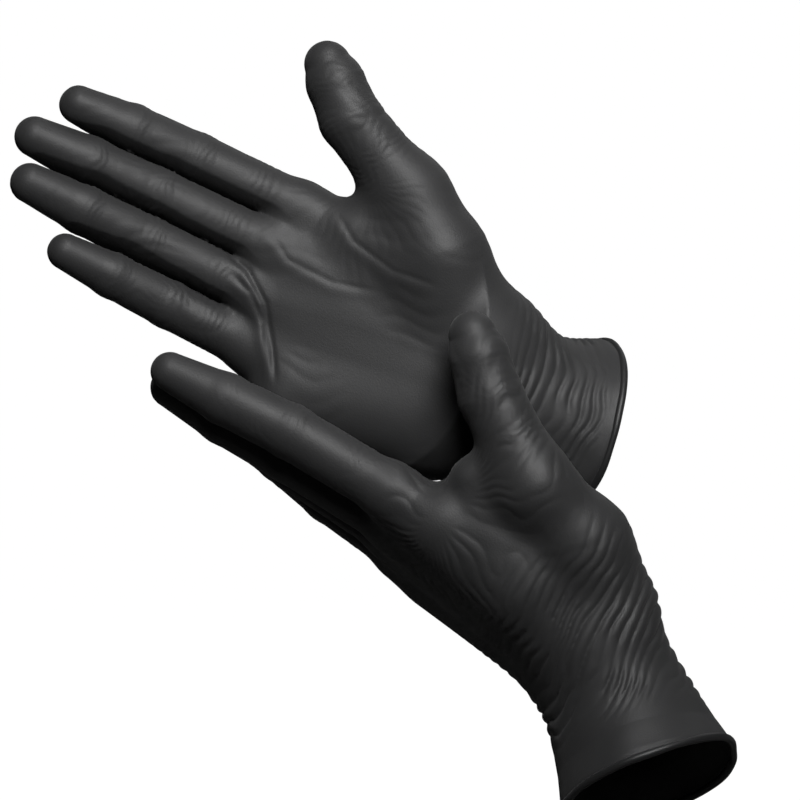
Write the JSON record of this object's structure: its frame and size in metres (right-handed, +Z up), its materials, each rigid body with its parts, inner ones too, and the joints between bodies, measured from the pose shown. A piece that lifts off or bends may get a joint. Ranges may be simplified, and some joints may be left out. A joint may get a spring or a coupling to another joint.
{
  "type": "pair of disposable gloves",
  "caption": "Pair of thin black dipped gloves as worn, one palm forward and one in front of it, with bending finger stalls, thumbs and wrists and rolled cuff beads.",
  "frame": {"origin": "centre of the right cuff's mouth, where the forearm leaves the glove", "axes": "+X towards the right cuff, away from the right fingers; +Y from the viewer into the pair, through the thickness of the right palm; +Z up"},
  "size_m": [0.2373, 0.1039, 0.2582],
  "materials": {
    "film": "satin thin dipped film, near black",
    "bead": "satin rolled edge, near black"
  },
  "bodies": {
    "right_palm": {"right_palm": "film"},
    "right_cuff": {"right_wrist_fold": "film", "right_cuff": "film", "right_cuff_bead": "bead"},
    "right_index_base": {"right_index_base_fold": "film", "right_index_base_stall": "film"},
    "right_index_tip": {"right_index_middle_fold": "film", "right_index_tip_stall": "film"},
    "right_middle_base": {"right_middle_base_fold": "film", "right_middle_base_stall": "film"},
    "right_middle_tip": {"right_middle_middle_fold": "film", "right_middle_tip_stall": "film"},
    "right_ring_base": {"right_ring_base_fold": "film", "right_ring_base_stall": "film"},
    "right_ring_tip": {"right_ring_middle_fold": "film", "right_ring_tip_stall": "film"},
    "right_little_base": {"right_little_base_fold": "film", "right_little_base_stall": "film"},
    "right_little_tip": {"right_little_middle_fold": "film", "right_little_tip_stall": "film"},
    "right_thumb_base": {"right_thumb_base_fold": "film", "right_thumb_base_stall": "film"},
    "right_thumb_tip": {"right_thumb_middle_fold": "film", "right_thumb_tip_stall": "film"},
    "left_palm": {"left_palm": "film"},
    "left_cuff": {"left_wrist_fold": "film", "left_cuff": "film", "left_cuff_bead": "bead"},
    "left_index_base": {"left_index_base_fold": "film", "left_index_base_stall": "film"},
    "left_index_tip": {"left_index_middle_fold": "film", "left_index_tip_stall": "film"},
    "left_middle_base": {"left_middle_base_fold": "film", "left_middle_base_stall": "film"},
    "left_middle_tip": {"left_middle_middle_fold": "film", "left_middle_tip_stall": "film"},
    "left_ring_base": {"left_ring_base_fold": "film", "left_ring_base_stall": "film"},
    "left_ring_tip": {"left_ring_middle_fold": "film", "left_ring_tip_stall": "film"},
    "left_little_base": {"left_little_base_fold": "film", "left_little_base_stall": "film"},
    "left_little_tip": {"left_little_middle_fold": "film", "left_little_tip_stall": "film"},
    "left_thumb_base": {"left_thumb_base_fold": "film", "left_thumb_base_stall": "film"},
    "left_thumb_tip": {"left_thumb_middle_fold": "film", "left_thumb_tip_stall": "film"}
  },
  "joints": [
    {"name": "pair_part", "type": "slide", "parent": "right_palm", "child": "left_palm", "axis": [0, -1, 0], "range_m": [0, 0.15]},
    {"name": "right_wrist_bend", "type": "hinge", "parent": "right_palm", "child": "right_cuff", "pos_m": [-0.027, -0.014, 0.015], "axis": [0.4631, 0.0872, 0.882], "range_deg": [-20, 10], "stiffness_Nm_per_rad": 0.01, "deforming": ["right_wrist_fold"]},
    {"name": "right_index_knuckle", "type": "hinge", "parent": "right_palm", "child": "right_index_base", "pos_m": [-0.0883, -0.01321, 0.07035], "axis": [0.4161, 0.087, 0.9051], "range_deg": [-18, 42], "stiffness_Nm_per_rad": 0.01, "deforming": ["right_index_base_fold"]},
    {"name": "right_index_middle", "type": "hinge", "parent": "right_index_base", "child": "right_index_tip", "pos_m": [-0.12406, -0.01894, 0.08733], "axis": [0.4161, 0.087, 0.9051], "range_deg": [-8, 55], "stiffness_Nm_per_rad": 0.01, "deforming": ["right_index_middle_fold"]},
    {"name": "right_middle_knuckle", "type": "hinge", "parent": "right_palm", "child": "right_middle_base", "pos_m": [-0.09781, -0.01508, 0.05761], "axis": [0.4177, 0.087, 0.9044], "range_deg": [-18, 45], "stiffness_Nm_per_rad": 0.01, "deforming": ["right_middle_base_fold"]},
    {"name": "right_middle_middle", "type": "hinge", "parent": "right_middle_base", "child": "right_middle_tip", "pos_m": [-0.13711, -0.02138, 0.07637], "axis": [0.4177, 0.087, 0.9044], "range_deg": [-8, 55], "stiffness_Nm_per_rad": 0.01, "deforming": ["right_middle_middle_fold"]},
    {"name": "right_ring_knuckle", "type": "hinge", "parent": "right_palm", "child": "right_ring_base", "pos_m": [-0.10335, -0.01546, 0.04276], "axis": [0.4335, 0.0871, 0.897], "range_deg": [-18, 30], "stiffness_Nm_per_rad": 0.01, "deforming": ["right_ring_base_fold"]},
    {"name": "right_ring_middle", "type": "hinge", "parent": "right_ring_base", "child": "right_ring_tip", "pos_m": [-0.13967, -0.02126, 0.06087], "axis": [0.4335, 0.0871, 0.897], "range_deg": [-10, 50], "stiffness_Nm_per_rad": 0.01, "deforming": ["right_ring_middle_fold"]},
    {"name": "right_little_knuckle", "type": "hinge", "parent": "right_palm", "child": "right_little_base", "pos_m": [-0.10395, -0.01531, 0.02548], "axis": [0.446, 0.0871, 0.8908], "range_deg": [-14, 15], "stiffness_Nm_per_rad": 0.01, "deforming": ["right_little_base_fold"]},
    {"name": "right_little_middle", "type": "hinge", "parent": "right_little_base", "child": "right_little_tip", "pos_m": [-0.13298, -0.01994, 0.04047], "axis": [0.446, 0.0871, 0.8908], "range_deg": [-10, 30], "stiffness_Nm_per_rad": 0.01, "deforming": ["right_little_middle_fold"]},
    {"name": "right_thumb_knuckle", "type": "hinge", "parent": "right_palm", "child": "right_thumb_base", "pos_m": [-0.05397, -0.01944, 0.0755], "axis": [0.5339, -0.7657, 0.3587], "range_deg": [-10, 18], "stiffness_Nm_per_rad": 0.01, "deforming": ["right_thumb_base_fold"]},
    {"name": "right_thumb_middle", "type": "hinge", "parent": "right_thumb_base", "child": "right_thumb_tip", "pos_m": [-0.07376, -0.02151, 0.10056], "axis": [0.5339, -0.7657, 0.3587], "range_deg": [-4, 38], "stiffness_Nm_per_rad": 0.01, "deforming": ["right_thumb_middle_fold"]},
    {"name": "left_wrist_bend", "type": "hinge", "parent": "left_palm", "child": "left_cuff", "pos_m": [0.0044, -0.0304, -0.0737], "axis": [0.0632, -0.9549, 0.29], "range_deg": [-25, 25], "stiffness_Nm_per_rad": 0.01, "deforming": ["left_wrist_fold"]},
    {"name": "left_index_knuckle", "type": "hinge", "parent": "left_palm", "child": "left_index_base", "pos_m": [-0.05879, -0.04017, -0.02143], "axis": [-0.0986, 0.9592, -0.2649], "range_deg": [-11, 8], "stiffness_Nm_per_rad": 0.01, "deforming": ["left_index_base_fold"]},
    {"name": "left_index_middle", "type": "hinge", "parent": "left_index_base", "child": "left_index_tip", "pos_m": [-0.09308, -0.03804, -0.00093], "axis": [-0.0986, 0.9592, -0.2649], "range_deg": [-4, 8], "stiffness_Nm_per_rad": 0.01, "deforming": ["left_index_middle_fold"]},
    {"name": "left_middle_knuckle", "type": "hinge", "parent": "left_palm", "child": "left_middle_base", "pos_m": [-0.05665, -0.02662, -0.03173], "axis": [-0.0986, 0.9592, -0.2649], "range_deg": [-11, 3], "stiffness_Nm_per_rad": 0.01, "deforming": ["left_middle_base_fold"]},
    {"name": "left_middle_middle", "type": "hinge", "parent": "left_middle_base", "child": "left_middle_tip", "pos_m": [-0.09396, -0.02405, -0.00857], "axis": [-0.0986, 0.9592, -0.2649], "range_deg": [-4, 4], "stiffness_Nm_per_rad": 0.01, "deforming": ["left_middle_middle_fold"]},
    {"name": "left_ring_knuckle", "type": "hinge", "parent": "left_palm", "child": "left_ring_base", "pos_m": [-0.05787, -0.01123, -0.03495], "axis": [-0.0915, 0.9585, -0.27], "range_deg": [-13, 6], "stiffness_Nm_per_rad": 0.01, "deforming": ["left_ring_base_fold"]},
    {"name": "left_ring_middle", "type": "hinge", "parent": "left_ring_base", "child": "left_ring_tip", "pos_m": [-0.09191, -0.00811, -0.01231], "axis": [-0.0915, 0.9585, -0.27], "range_deg": [-5, 6], "stiffness_Nm_per_rad": 0.01, "deforming": ["left_ring_middle_fold"]},
    {"name": "left_little_knuckle", "type": "hinge", "parent": "left_palm", "child": "left_little_base", "pos_m": [-0.05479, 0.00297, -0.04229], "axis": [-0.0845, 0.9577, -0.275], "range_deg": [-16, 9], "stiffness_Nm_per_rad": 0.01, "deforming": ["left_little_base_fold"]},
    {"name": "left_little_middle", "type": "hinge", "parent": "left_little_base", "child": "left_little_tip", "pos_m": [-0.08156, 0.00608, -0.02325], "axis": [-0.0845, 0.9577, -0.275], "range_deg": [-6, 9], "stiffness_Nm_per_rad": 0.01, "deforming": ["left_little_middle_fold"]},
    {"name": "left_thumb_knuckle", "type": "hinge", "parent": "left_palm", "child": "left_thumb_base", "pos_m": [-0.01479, -0.05226, -0.01839], "axis": [0.137, -0.9818, 0.1318], "range_deg": [-10, 25], "stiffness_Nm_per_rad": 0.01, "deforming": ["left_thumb_base_fold"]},
    {"name": "left_thumb_middle", "type": "hinge", "parent": "left_thumb_base", "child": "left_thumb_tip", "pos_m": [-0.02882, -0.05036, 0.01031], "axis": [0.137, -0.9818, 0.1318], "range_deg": [-10, 40], "stiffness_Nm_per_rad": 0.01, "deforming": ["left_thumb_middle_fold"]}
  ]
}
